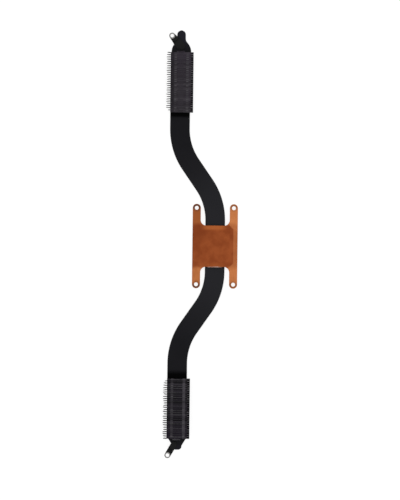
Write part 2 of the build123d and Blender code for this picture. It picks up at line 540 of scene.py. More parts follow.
@dataclass(frozen=True)
class TarnishedCopper:
    """Bare rolled copper, browned on its body and round the screw holes, cleaner on its arms."""

    name: str
    dull: Colour
    bright: Colour
    body: Colour
    body_cloud: Colour
    # Darker colour towards the upper left of the body
    stained: Colour
    # Painted reflection: a bright band along the throats
    buffed: Colour
    rim: Colour
    streak: Colour
    body_half: Point
    hole_place: Point
    hole_radius: float
    cloud_noise: Noise = Noise(120.0, 4.0)
    wander: float = 5.0 * MM
    roughness: Fade = Fade(0.3, 0.7, 0.38, 0.52)
    rolled_noise: Noise = Noise(1.0, 3.0, (6000.0, 260.0, 260.0))
    streak_fade: Fade = Fade(0.3, 0.75, 0.0, 0.22)
    skin_depth: float = 0.012 * MM
    skin_share: float = 0.35
    arm_noise: Noise = Noise(75.0, 3.0)
    arm_patches: float = 1.1
    clean_right: Fade = Fade(-13.0 * MM, 13.0 * MM, 0.12, 0.73)
    clean_crossed: Fade = Fade(-200.0 * MM**2, 200.0 * MM**2, -0.17, 0.17)
    clean_low: Fade = Fade(-16.0 * MM, 12.0 * MM, 0.22, 0.0)
    body_noise: Noise = Noise(150.0, 5.0)
    body_fade: Fade = Fade(0.32, 0.68)
    stain_fade: Fade = Fade(4.0 * MM, 18.0 * MM, 0.0, 0.7)
    length_fade: Fade = Fade(-1.0 * MM, 2.0 * MM, 1.0, 0.0)
    width_fade: Fade = Fade(-0.4 * MM, 0.3 * MM, 1.0, 0.58)
    corner_fade: Fade = Fade(-2.6 * MM, -1.5 * MM, 1.0, 0.45)
    buffed_upper: Fade = Fade(8.7 * MM, 10.6 * MM)
    buffed_lower: Fade = Fade(-11.2 * MM, -8.5 * MM, 0.3, 0.0)
    buffed_middle: float = -0.6 * MM
    buffed_width: Fade = Fade(3.5 * MM, 8.4 * MM, 0.85, 0.0)
    rim_fade: Fade = Fade(0.7 * MM, 1.4 * MM, 0.95, 0.0)
    rim_outer: Fade = Fade(-1.0 * MM, 0.8 * MM, 0.35, 1.0)
    rim_left: Fade = Fade(-8.0 * MM, 8.0 * MM, 1.0, 0.6)

    def material(self) -> bpy.types.Material:
        """Wire the copper.

        Returns:
            The finished material.
        """
        copper = Surface(self.name)
        clouds = copper.noise(self.cloud_noise)
        wander = copper.times(copper.minus(clouds, MEAN_NOISE), self.wander)
        browned = self.browned(copper, wander)
        colour = copper.blend(self.on_body(copper, wander), self.arms(copper), browned)
        # Painted reflection along the throats
        colour = copper.blend(self.on_band(copper), colour, self.buffed)
        colour = copper.blend(self.on_rims(copper, wander), colour, self.rim)
        rolled = copper.noise(self.rolled_noise)
        copper.set(
            Base_Color=copper.blend(copper.fade(rolled, self.streak_fade), colour, self.streak),
            Metallic=1.0,
            Roughness=copper.fade(clouds, self.roughness),
        )
        copper.raise_skin(rolled, self.skin_depth, self.skin_share)
        return copper.material

    def arms(self, copper: Surface) -> Socket:
        """Colour of the arms, cleaner towards +X.

        Args:
            copper: The wiring of the copper.

        Returns:
            The socket of the colour.
        """
        axes = copper.split(copper.coords)
        patches = copper.minus(copper.noise(self.arm_noise), MEAN_NOISE)
        patches = copper.times(patches, self.arm_patches)
        clean = copper.plus(copper.fade(axes["X"], self.clean_right), patches)
        crossed = copper.fade(copper.times(axes["X"], axes["Y"]), self.clean_crossed)
        low = copper.fade(axes["Y"], self.clean_low)
        clean = copper.plus(clean, copper.plus(crossed, low))
        return copper.blend(copper.fade(clean, Fade(0.0, 1.0)), self.dull, self.bright)

    def browned(self, copper: Surface, wander: Socket) -> Socket:
        """Colour of the browned body, darker towards its upper left.

        Args:
            copper: The wiring of the copper.
            wander: How far a border strays.

        Returns:
            The socket of the colour.
        """
        axes = copper.split(copper.coords)
        clouded = copper.fade(copper.noise(self.body_noise), self.body_fade)
        slope = copper.plus(copper.minus(axes["Y"], axes["X"]), wander)
        colour = copper.blend(clouded, self.body, self.body_cloud)
        return copper.blend(copper.fade(slope, self.stain_fade), colour, self.stained)

    def on_body(self, copper: Surface, wander: Socket) -> Socket:
        """Where the copper is browned, with a ragged border and clean right corners.

        Args:
            copper: The wiring of the copper.
            wander: How far a border strays.

        Returns:
            The socket of the share, from 0 to 1.
        """
        axes = copper.split(copper.coords)
        wide, high = self.body_half
        up = copper.positive(axes["Y"])
        in_length = copper.fade(copper.plus(up, wander), self.length_fade.past(high))
        in_width = copper.fade(axes["X"], self.width_fade.past(wide))
        in_corner = copper.fade(copper.plus(axes["X"], up), self.corner_fade.past(wide + high))
        return copper.times(in_length, copper.maths("MINIMUM", in_width, in_corner))

    def on_band(self, copper: Surface) -> Socket:
        """Where a painted reflection brightens the copper, mostly by the upper throat.

        Args:
            copper: The wiring of the copper.

        Returns:
            The socket of the share, from 0 to 1.
        """
        axes = copper.split(copper.coords)
        upper = copper.fade(axes["Y"], self.buffed_upper)
        lower = copper.fade(axes["Y"], self.buffed_lower)
        aside = copper.positive(copper.minus(axes["X"], self.buffed_middle))
        return copper.times(copper.plus(upper, lower), copper.fade(aside, self.buffed_width))

    def on_rims(self, copper: Surface, wander: Socket) -> Socket:
        """Where the copper is dark round the screw holes, most on the outer side and on the left.

        Args:
            copper: The wiring of the copper.
            wander: How far a border strays.

        Returns:
            The socket of the share, from 0 to 1.
        """
        axes = copper.split(copper.coords)
        reach = copper.reach(self.hole_place, mirrored=True)
        round_hole = copper.fade(reach, self.rim_fade.past(self.hole_radius))
        round_hole = copper.times(round_hole, copper.fade(axes["X"], self.rim_left))
        outer = copper.plus(copper.positive(axes["Y"]), wander)
        return copper.times(copper.fade(outer, self.rim_outer.past(self.hole_place[1])), round_hole)


@dataclass(frozen=True)
class SoftSolder:
    """Dull solder, stained by flux and copper."""

    name: str
    bright: Colour
    stained: Colour
    metallic: float = 0.9
    stain_noise: Noise = Noise(700.0, 3.0)
    stain_fade: Fade = Fade(0.35, 0.65)
    roughness: Fade = Fade(0.0, 1.0, 0.32, 0.55)
    skin_noise: Noise = Noise(2500.0, 2.0)
    skin_depth: float = 0.03 * MM
    skin_share: float = 0.6

    def material(self) -> bpy.types.Material:
        """Wire the solder.

        Returns:
            The finished material.
        """
        solder = Surface(self.name)
        stain = solder.fade(solder.noise(self.stain_noise), self.stain_fade)
        solder.set(
            Base_Color=solder.blend(stain, self.bright, self.stained),
            Metallic=self.metallic,
            Roughness=solder.fade(stain, self.roughness),
        )
        solder.raise_skin(solder.noise(self.skin_noise), self.skin_depth, self.skin_share)
        return solder.material


class RuleTree(Wiring):
    """A Geometry Nodes tree with named inputs, for one piece that follows a rule."""

    def __init__(self, name: str) -> None:
        """Start a tree that takes a mesh in and gives a mesh back.

        Args:
            name: Name of the tree.
        """
        super().__init__(bpy.data.node_groups.new(name, "GeometryNodeTree"))
        self.values: dict[str, Any] = {}
        for way in ("INPUT", "OUTPUT"):
            self.tree.interface.new_socket("Geometry", in_out=way, socket_type="NodeSocketGeometry")
        self.entry = self.place("NodeGroupInput")

    def size(self, name: str, kind: str, value: Any) -> Socket:
        """Add a named input.

        Args:
            name: Name of the input.
            kind: Blender's short name for its type, such as Float or Object.
            value: What the piece sets it to.

        Returns:
            The socket that carries it inside the tree.
        """
        item = self.tree.interface.new_socket(name, in_out="INPUT", socket_type=f"NodeSocket{kind}")
        self.values[item.identifier] = value
        return next(s for s in self.entry.outputs if s.identifier == item.identifier)

    def carried(self, source: Socket) -> Socket:
        """The mesh of an object that an input names."""
        return self.place("GeometryNodeObjectInfo", {"Object": source}).outputs["Geometry"]

    def named(self, name: str, kind: str = "FLOAT") -> Socket:
        """Read a named attribute of the geometry, by Blender's name for its type."""
        node = self.place("GeometryNodeInputNamedAttribute", {"Name": name}, data_type=kind)
        return node.outputs["Attribute"]

    def position(self) -> Socket:
        """Where each point of the geometry is."""
        return self.place("GeometryNodeInputPosition").outputs[0]

    def store(
        self, geometry: Socket, name: str, kind: str, value: Socket, domain: str = "POINT"
    ) -> Socket:
        """Keep a value on the geometry as a named attribute.

        Args:
            geometry: The geometry to write on.
            name: Name of the attribute.
            kind: Blender's name for its type.
            value: The value to keep.
            domain: Where on the geometry it is kept.

        Returns:
            The geometry with the attribute.
        """
        feeds = {"Geometry": geometry, "Name": name, "Value": value}
        kept = self.place("GeometryNodeStoreNamedAttribute", feeds, data_type=kind, domain=domain)
        return kept.outputs[0]

    def smooth(self, geometry: Socket) -> Socket:
        """Shade the geometry smooth."""
        feeds = {"Geometry": geometry, "Shade Smooth": True}
        return self.place("GeometryNodeSetShadeSmooth", feeds).outputs[0]

    def close(self, geometry: Socket, finish: Socket) -> None:
        """End the tree with realised geometry in its material.

        Args:
            geometry: The whole geometry.
            finish: The material's socket.
        """
        real = self.place("GeometryNodeRealizeInstances", {"Geometry": geometry}).outputs[0]
        dressed = self.place("GeometryNodeSetMaterial", {"Geometry": real, "Material": finish})
        self.place("NodeGroupOutput", {"Geometry": dressed.outputs[0]})

    def apply(self, piece: bpy.types.Object) -> None:
        """Run the tree on a piece and keep the result as its plain mesh.

        Args:
            piece: The object whose mesh goes in, and is replaced.
        """
        modifier = piece.modifiers.new(self.tree.name, "NODES")
        modifier.node_group = self.tree
        for identifier, value in self.values.items():
            modifier[identifier] = value
        settle(piece)


def clamp(value: float) -> float:
    """Keep a share between 0 and 1."""
    return min(max(value, 0.0), 1.0)


def leg(longest: float, other: float) -> float:
    """Third side of a right triangle, from its longest side and another."""
    return math.sqrt(max(longest**2 - other**2, 0.0))


def softened(shape: Callable[[float], float], place: float, spread: float, cuts: int) -> float:
    """Mean of a shape's height over a spread round a place, which rounds off its corners."""
    heights = [shape(place + spread * cut / cuts) for cut in range(-cuts, cuts + 1)]
    return sum(heights) / len(heights)


def arc(centre: Point, radius: float, start: float, end: float, cuts: int) -> list[Point]:
    """Points along an arc between two angles in degrees, with both its ends."""
    angles = [math.radians(start + (end - start) * i / cuts) for i in range(cuts + 1)]
    return [(centre[0] + radius * math.cos(a), centre[1] + radius * math.sin(a)) for a in angles]


def circle(centre: Point, radius: float) -> list[Point]:
    """Points round a screw hole, each of them once."""
    return arc(centre, radius, 0, 360 - 360 / HOLE_CUTS, HOLE_CUTS - 1)


def lipped(low: float, high: float, chamfer: float, lip: float) -> list[Point]:
    """Inset and level of each loop up an edge, chamfered at its back and with an eased lip.

    Args:
        low: Level of the back.
        high: Level of the front.
        chamfer: Width of the chamfer.
        lip: Width of the lip.

    Returns:
        The profile, from the back to the front.
    """
    ease = LIP_EASE * lip
    back = [(chamfer, low), (0.0, low + chamfer)]
    return back + [(0.0, high - lip), (ease, high - ease), (lip, high)]


def add_object(name: str, mesh: bpy.types.Mesh, *finishes: bpy.types.Material) -> bpy.types.Object:
    """Put a mesh in the scene.

    Args:
        name: Name of the object.
        mesh: Its mesh.
        finishes: Its materials.

    Returns:
        The new object.
    """
    for finish in finishes:
        mesh.materials.append(finish)
    piece = bpy.data.objects.new(name, mesh)
    bpy.context.scene.collection.objects.link(piece)
    return piece


def face_outwards(shape: bmesh.types.BMesh) -> None:
    """Point the faces of a closed shape outwards.

    Args:
        shape: The shape to change.
    """
    bmesh.ops.recalc_face_normals(shape, faces=shape.faces)
    if shape.calc_volume(signed=True) < 0:
        bmesh.ops.reverse_faces(shape, faces=shape.faces)


def mesh_of(shape: bmesh.types.BMesh, name: str) -> bpy.types.Mesh:
    """Turn a shape into a mesh, and let go of the shape.

    Args:
        shape: The finished shape.
        name: Name of the mesh.

    Returns:
        The mesh.
    """
    mesh = bpy.data.meshes.new(name)
    shape.to_mesh(mesh)
    shape.free()
    return mesh


def wire_mesh(
    name: str, points: list[Place], closed: bool, carried: dict[str, Sequence[Any]]
) -> bpy.types.Mesh:
    """Join a row of points to a line.

    Args:
        name: Name of the mesh.
        points: Place of each point.
        closed: Whether the line comes back to its first point.
        carried: Numbers or vectors that the points carry, by the name of the attribute.

    Returns:
        The mesh of the line.
    """
    count = len(points)
    edges = [(i, (i + 1) % count) for i in range(count if closed else count - 1)]
    mesh = bpy.data.meshes.new(name)
    mesh.from_pydata(points, edges, [])
    for title, values in carried.items():
        is_vector = isinstance(values[0], tuple)
        layer = mesh.attributes.new(title, "FLOAT_VECTOR" if is_vector else "FLOAT", "POINT")
        for item, value in zip(layer.data, values):
            setattr(item, "vector" if is_vector else "value", value)
    return mesh


def settle(piece: bpy.types.Object) -> None:
    """Turn a piece's modifiers into a plain mesh whose faces point outwards.

    Args:
        piece: The object to change.
    """
    graph = bpy.context.evaluated_depsgraph_get()
    mesh = bpy.data.meshes.new_from_object(
        piece.evaluated_get(graph), preserve_all_data_layers=True, depsgraph=graph
    )
    piece.modifiers.clear()
    piece.data = mesh
    shape = bmesh.new()
    shape.from_mesh(mesh)
    bmesh.ops.remove_doubles(shape, verts=shape.verts, dist=SAME_POINT)
    bmesh.ops.dissolve_degenerate(shape, edges=shape.edges, dist=SAME_POINT)
    face_outwards(shape)
    shape.to_mesh(mesh)
    shape.free()


def dress(piece: bpy.types.Object, slot: str, *nodes: str) -> None:
    """Let a piece ride on the heatsink and stand for its solids.

    Args:
        piece: The finished piece.
        slot: The record's material slot; not used.
        nodes: Names of the solids that it stands for.
    """
    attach(piece, BODY)
    if nodes:
        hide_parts(*nodes)
    log.info("%s: %d faces, stands for %d solids", piece.name, len(piece.data.polygons), len(nodes))


class SheetShape:
    """A flat piece built from loops of points, with its rims rounded."""

    def __init__(self) -> None:
        """Start with no points."""
        self.shape = bmesh.new()

    def loop(self, points: Sequence[Point], level: float) -> Ring:
        """Add one closed loop of points at a level."""
        return [self.shape.verts.new((x, y, level)) for x, y in points]

    def wall(self, plan: Callable[[float], list[Point]], profile: Sequence[Point]) -> list[Ring]:
        """Join a row of loops by smooth walls.

        Args:
            plan: Plan of the loop for an inset.
            profile: Inset and level of each loop.

        Returns:
            The first and the last loop.
        """
        loops = [self.loop(plan(inset), level) for inset, level in profile]
        for low, high in zip(loops, loops[1:]):
            count = len(low)
            for i in range(count):
                j = (i + 1) % count
                face = self.shape.faces.new((low[i], low[j], high[j], high[i]))
                face.smooth = True
        return [loops[0], loops[-1]]

    def cover(self, *loops: Ring) -> None:
        """Close the flat face between loops.

        Args:
            loops: The outer loop and any loops inside it, all at one level.
        """
        known = self.shape.edges
        edges = []
        for ring in loops:
            for pair in zip(ring, ring[1:] + ring[:1]):
                edges.append(known.get(pair) or known.new(pair))
        bmesh.ops.triangle_fill(self.shape, edges=edges, use_beauty=True, normal=(0.0, 0.0, 1.0))

    def mesh(self, name: str) -> bpy.types.Mesh:
        """Finish the shape, with its faces pointing outwards."""
        face_outwards(self.shape)
        return mesh_of(self.shape, name)


@dataclass
class Station:
    """One cross-section of the pipe."""

    place: Point
    heading: float
    run: float
    half_width: float
    half_rise: float


@dataclass
class HeatPipe:
    """Flat bent tube that carries heat from the cold plate to both fin stacks."""

    finish: SatinPaint
    half_width: float = 5.75 * MM
    half_thickness: float = 1.0 * MM
    edge_radius: float = 0.95 * MM
    mid_straight: float = 30.0 * MM
    bend_radius: float = 36.5 * MM
    bend_turn: float = math.radians(34.7)
    slant: float = 14.5 * MM
    lead_straight: float = 9.3 * MM
    stack_straight: float = 34.895 * MM
    end_shift: float = 0.35 * MM
    shift_share: float = 0.85
    shoulder_lead: float = 0.5 * MM
    shoulder_length: float = 6.4 * MM
    stub_half: float = 2.5 * MM
    stub_straight: float = 3.85 * MM
    stub_fillet: float = 3.5 * MM
    cone_tuck: float = 1.05 * MM
    cone_length: float = 5.2 * MM
    tip_half: float = 2.625 * MM
    tip_straight: float = 2.3 * MM
    tip_corner: float = 1.84 * MM
    least_half: float = 0.05 * MM
    end_spread: float = 0.35 * MM
    spread_cuts: int = 3
    end_cuts: int = 64
    flat_cuts: int = 10
    edge_cuts: int = 7
    step: float = 1.0 * MM

    @property
    def bend_length(self) -> float:
        """Length of one bend along the centreline."""
        return self.bend_radius * self.bend_turn

    def half_run(self) -> list[tuple[Point, float, float]]:
        """Centreline from the plate's middle to the outer end of a fin stack.

        Returns:
            Place, heading and distance run at each station.
        """
        runs = [
            (self.mid_straight / 2, 0.0),
            (self.bend_length, self.bend_turn),
            (self.slant, 0.0),
            (self.bend_length, -self.bend_turn),
            (self.lead_straight, 0.0),
            (self.stack_straight, 0.0),
        ]
        place, heading, run = (0.0, 0.0), math.pi / 2, 0.0
        stations = [(place, heading, run)]
        for length, turn in runs:
            count = math.ceil(length / self.step)
            start = place
            for i in range(1, count + 1):
                gone = length * i / count
                angle = turn * i / count
                chord = gone if not turn else 2 * (length / turn) * math.sin(angle / 2)
                aim = heading + angle / 2
                place = (start[0] + chord * math.cos(aim), start[1] + chord * math.sin(aim))
                stations.append((place, heading + angle, run + gone))
            heading, run = heading + turn, run + length
        return stations

    def fill_half(self, past: float) -> float:
        """Half width of the fill end.

        Args:
            past: Distance past the fin stack.

        Returns:
            The half width there.
        """
        on_shoulder = past - self.shoulder_lead
        on_tip = on_shoulder - self.shoulder_length - self.stub_straight
        drop = self.half_width - self.stub_half
        radius = (drop**2 + self.shoulder_length**2) / (2 * drop)
        fillet_end = leg(radius + self.stub_fillet, radius - drop + self.stub_fillet)
        fillet_start = fillet_end * radius / (radius + self.stub_fillet)
        if on_shoulder <= 0:
            return self.half_width
        if on_shoulder <= fillet_start:
            return self.half_width - radius + leg(radius, on_shoulder)
        if on_shoulder <= fillet_end:
            sink = leg(self.stub_fillet, fillet_end - on_shoulder)
            return self.stub_half + self.stub_fillet - sink
        return leg(self.stub_half, max(on_tip, 0.0))

    def blind_half(self, past: float) -> float:
        """Half width of the blind end.

        Args:
            past: Distance past the fin stack.

        Returns:
            The half width there.
        """
        on_cone = past + self.cone_tuck
        on_tip = on_cone - self.cone_length - self.tip_straight + self.tip_corner
        share = clamp(on_cone / self.cone_length)
        side = self.half_width + (self.tip_half - self.half_width) * share
        return side - self.tip_corner + leg(self.tip_corner, max(on_tip, 0.0))

    def end_stations(self, end: PipeEnd, last: tuple[Point, float, float]) -> list[Station]:
        """Cross-sections of one closed end, past the fin stack.

        Args:
            end: Which end of the pipe.
            last: Place, heading and run where the end begins, on the fill side.

        Returns:
            The stations, from the stack outwards.
        """
        if end is PipeEnd.FILL:
            half = self.fill_half
            reach = self.shoulder_lead + self.shoulder_length + self.stub_straight + self.stub_half
        else:
            half = self.blind_half
            reach = self.cone_length + self.tip_straight - self.cone_tuck
        (x, y), _, run = last
        stations = []
        for i in range(1, self.end_cuts + 1):
            past = reach * math.sin(math.pi / 2 * i / self.end_cuts)
            left = reach - past
            width = softened(half, past, min(self.end_spread, left), self.spread_cuts)
            to_round = self.edge_radius - min(left, self.edge_radius)
            rise = self.half_thickness - self.edge_radius + leg(self.edge_radius, to_round)
            place = (x + self.end_shift, end.value * (y + past))
            size = (max(width, self.least_half), rise)
            stations.append(Station(place, math.pi / 2, end.value * (run + past), *size))
        return stations

    def drift(self, run: float) -> float:
        """How far either side of the pipe has left its axis under the fins.

        Args:
            run: Distance run from the plate's middle.

        Returns:
            The sideways shift, in two equal curves.
        """
        start = self.mid_straight / 2 + 2 * self.bend_length + self.slant + self.lead_straight
        share = clamp((run - start) / (self.shift_share * self.stack_straight))
        eased = 2 * share**2 if share < 0.5 else 1 - 2 * (1 - share) ** 2
        return self.end_shift * eased

    def stations(self) -> list[Station]:
        """Cross-sections from the blind tip to the fill tip.

        Returns:
            The stations in order.
        """
        half = self.half_run()
        size = (self.half_width, self.half_thickness)
        upper, lower = [], []
        for (x, y), heading, run in half:
            x += self.drift(run)
            upper.append(Station((x, y), heading, run, *size))
            lower.append(Station((x, -y), math.pi - heading, -run, *size))
        fill = self.end_stations(PipeEnd.FILL, half[-1])
        blind = self.end_stations(PipeEnd.BLIND, half[-1])
        return [*reversed(blind), *reversed(lower[1:]), *upper, *fill]

    def path_mesh(self) -> bpy.types.Mesh:
        """Centreline with the size of each cross-section on its points.

        Returns:
            The mesh of joined points.
        """
        stations = self.stations()
        points = [(*s.place, PIPE_FRONT - self.half_thickness) for s in stations]
        carried = {
            "centre": points,
            "across": [(math.sin(s.heading), -math.cos(s.heading), 0.0) for s in stations],
            "half_width": [s.half_width for s in stations],
            "half_rise": [s.half_rise for s in stations],
            "run": [s.run for s in stations],
        }
        return wire_mesh("pipe_path", points, False, carried)

    def section_mesh(self) -> bpy.types.Mesh:
        """Closed loop of the flattened tube, with flats and round edges kept apart.

        Returns:
            The loop; each point carries its share of the flat and its place on the round edge.
        """
        flats, rounds, radius = self.flat_cuts, self.edge_cuts, self.edge_radius
        upright = self.half_thickness - radius
        half = [(1 - 2 * i / flats, 0.0, self.half_thickness) for i in range(flats)]
        for i in range(2 * rounds + 1):
            angle = math.pi / 2 * (min(i, rounds) + max(i - rounds - 1, 0)) / rounds
            level = upright if i <= rounds else -upright
            half.append((-1.0, -radius * math.sin(angle), level + radius * math.cos(angle)))
        ring = half + [(-share, -edge, -rise) for share, edge, rise in half]
        points = [(share * self.half_width + edge, rise, 0.0) for share, edge, rise in ring]
        carried = dict(zip(("flat_share", "edge_reach", "edge_rise"), zip(*ring)))
        return wire_mesh("pipe_section", points, True, carried)

    def build(self) -> bpy.types.Object:
        """Sweep the section along the centreline.

        Returns:
            The finished pipe.
        """
        pipe = add_object("painted_pipe", self.path_mesh())
        section = add_object("pipe_section", self.section_mesh())
        rule = RuleTree("pipe sweep")
        profile = rule.carried(rule.size("Section", "Object", section))
        radius = rule.size("Edge Radius", "Float", self.edge_radius)
        thickness = rule.size("Half Thickness", "Float", self.half_thickness)
        paint = rule.size("Paint", "Material", self.finish.material())

        path = rule.place("GeometryNodeMeshToCurve", {"Mesh": rule.entry.outputs[0]}).outputs[0]
        ring = rule.place("GeometryNodeMeshToCurve", {"Mesh": profile}).outputs[0]
        feeds = {"Curve": path, "Profile Curve": ring, "Fill Caps": True}
        tube = rule.place("GeometryNodeCurveToMesh", feeds).outputs[0]

        # Each point of the sweep goes where its station's own size puts it
        half_width = rule.named("half_width")
        edge = rule.maths("MINIMUM", radius, half_width)
        on_flat = rule.times(rule.named("flat_share"), rule.minus(half_width, edge))
        on_edge = rule.times(rule.named("edge_reach"), rule.over(edge, radius))
        reach = rule.plus(on_flat, on_edge)
        squeeze = rule.over(rule.named("half_rise"), thickness)
        rise = rule.times(rule.named("edge_rise"), squeeze)
        sideways = rule.vectors("SCALE", rule.named("across", "FLOAT_VECTOR"))
        rule.feed(sideways, "Scale", reach)
        offset = rule.vectors("ADD", sideways.outputs[0], rule.join(Z=rise)).outputs[0]
        place = rule.vectors("ADD", rule.named("centre", "FLOAT_VECTOR"), offset).outputs[0]
        lay = rule.join(X=reach, Y=rule.named("run"), Z=rise)
        tube = rule.store(tube, "lay", "FLOAT_VECTOR", lay)
        feeds = {"Geometry": tube, "Position": place}
        tube = rule.place("GeometryNodeSetPosition", feeds).outputs[0]
        rule.close(rule.smooth(tube), paint)
        rule.apply(pipe)
        bpy.data.objects.remove(section)
        return pipe


@dataclass
class ColdPlate:
    """Stamped copper H with a coined pad and four screw holes."""

    finish: TarnishedCopper
    hole_x: float = 10.825 * MM
    hole_y: float = 22.3 * MM
    hole_radius: float = 1.15 * MM
    hole_chamfer: float = 0.05 * MM
    hole_lip: float = 0.06 * MM
    arm_half: float = 2.35 * MM
    arm_cuts: int = 24
    half_length: float = 12.05 * MM
    throat_radius: float = 3.3 * MM
    throat_cuts: int = 12
    back_chamfer: float = 0.08 * MM
    rim_roll: float = 0.2 * MM
    rim_cuts: int = 4
    pad_left: float = -12.675 * MM
    pad_right: float = 10.675 * MM
    pad_half_y: float = 11.45 * MM
    pad_corner: float = 2.6 * MM
    pad_foot: float = 0.22 * MM
    pad_shoulder: float = 0.6 * MM
    corner_cuts: int = 10
    coin_cuts: int = 8

    def outline(self, inset: float) -> list[Point]:
        """Plan of the H.

        Args:
            inset: How far the outline draws in.

        Returns:
            The closed outline, right arm first.
        """
        arm, throat = self.arm_half - inset, self.throat_radius + inset
        well_x = self.hole_x - self.arm_half - self.throat_radius
        well_y = self.half_length + self.throat_radius
        upper = arc((self.hole_x, self.hole_y), arm, 0, 180, self.arm_cuts)
        upper += arc((well_x, well_y), throat, 0, -90, self.throat_cuts)
        upper += arc((-well_x, well_y), throat, -90, -180, self.throat_cuts)
        upper += arc((-self.hole_x, self.hole_y), arm, 0, 180, self.arm_cuts)
        return upper + [(-x, -y) for x, y in upper]

    def pad_plan(self, inset: float) -> list[Point]:
        """Plan of the pad, a rectangle with round corners.

        Args:
            inset: How far the outline draws in.

        Returns:
            The closed outline.
        """
        left, right = self.pad_left + self.pad_corner, self.pad_right - self.pad_corner
        up, radius = self.pad_half_y - self.pad_corner, self.pad_corner - inset
        plan = []
        for turn, centre in enumerate(((right, up), (left, up), (left, -up), (right, -up))):
            plan += arc(centre, radius, 90 * turn, 90 * turn + 90, self.corner_cuts)
        return plan

    def rim(self) -> list[Point]:
        """Profile of the plate's rim, with the rolled front edge of a stamping.

        Returns:
            Inset and level of each loop, from the back to the front.
        """
        low, high, chamfer, roll = PIPE_FRONT, PLATE_FRONT, self.back_chamfer, self.rim_roll
        rolled = arc((roll, high - roll), roll, 180, 90, self.rim_cuts)
        return [(chamfer, low), (0.0, low + chamfer), *rolled]

    def coin(self) -> list[Point]:
        """Profile of the pad's soft edge.

        Returns:
            Inset and level of each loop, from the foot to the pad face.
        """
        profile = []
        for share in (i / self.coin_cuts for i in range(self.coin_cuts + 1)):
            inset = (self.pad_foot + self.pad_shoulder) * share - self.pad_foot
            profile.append((inset, PLATE_FRONT * (1 + math.cos(math.pi * share)) / 2))
        return profile

    def build(self) -> bpy.types.Object:
        """Form the plate from its loops.

        Returns:
            The finished plate.
        """
        plate = SheetShape()
        back, front = plate.wall(self.outline, self.rim())
        backs, fronts = [back], [front]
        bore = lipped(PIPE_FRONT, PLATE_FRONT, self.hole_chamfer, self.hole_lip)
        for side_x in (-1, 1):
            for side_y in (-1, 1):
                centre = (side_x * self.hole_x, side_y * self.hole_y)
                back, front = plate.wall(lambda grow: circle(centre, self.hole_radius + grow), bore)
                backs.append(back)
                fronts.append(front)
        foot, top = plate.wall(self.pad_plan, self.coin())
        plate.cover(*backs)
        plate.cover(*fronts, foot)
        plate.cover(top)
        mesh = plate.mesh("copper_plate")
        return add_object("copper_plate", mesh, self.finish.material())


class FinSheet:
    """One fin's sheet without thickness, and what its points carry for the stack's rule."""

    def __init__(self, outer: float, side: int) -> None:
        """Start a sheet with no points.

        Args:
            outer: Distance of the web's outer face from the plate's middle.
            side: Direction along Y in which the fin lies, 1 or -1.
        """
        self.outer, self.side = outer, side
        self.shape = bmesh.new()
        layers = self.shape.verts.layers.float
        self.nose_reach = layers.new("nose_reach")
        self.flange_reach = layers.new("flange_reach")
        self.flange_end = layers.new("flange_end")
        self.rubbed = layers.new("rubbed")

    def point(self, x: float, inwards: float, z: float, rub: float = 0.0) -> bmesh.types.BMVert:
        """Add a point.

        Args:
            x: Its place across the stack.
            inwards: Its distance from the web's outer face, towards the plate.
            z: Its level.
            rub: How much its paint is rubbed.

        Returns:
            The new point.
        """
        made = self.shape.verts.new((x, self.side * (self.outer - inwards), z))
        made[self.rubbed] = rub
        return made

    def face(self, *corners: bmesh.types.BMVert) -> None:
        """Fill in the sheet between points."""
        self.shape.faces.new(corners)

    def merge(self) -> None:
        """Join the points that lie in one place."""
        bmesh.ops.remove_doubles(self.shape, verts=self.shape.verts, dist=5 * SAME_POINT)

    def mesh(self, name: str) -> bpy.types.Mesh:
        """Finish the sheet, with its faces turned the same way."""
        bmesh.ops.recalc_face_normals(self.shape, faces=self.shape.faces)
        return mesh_of(self.shape, name)


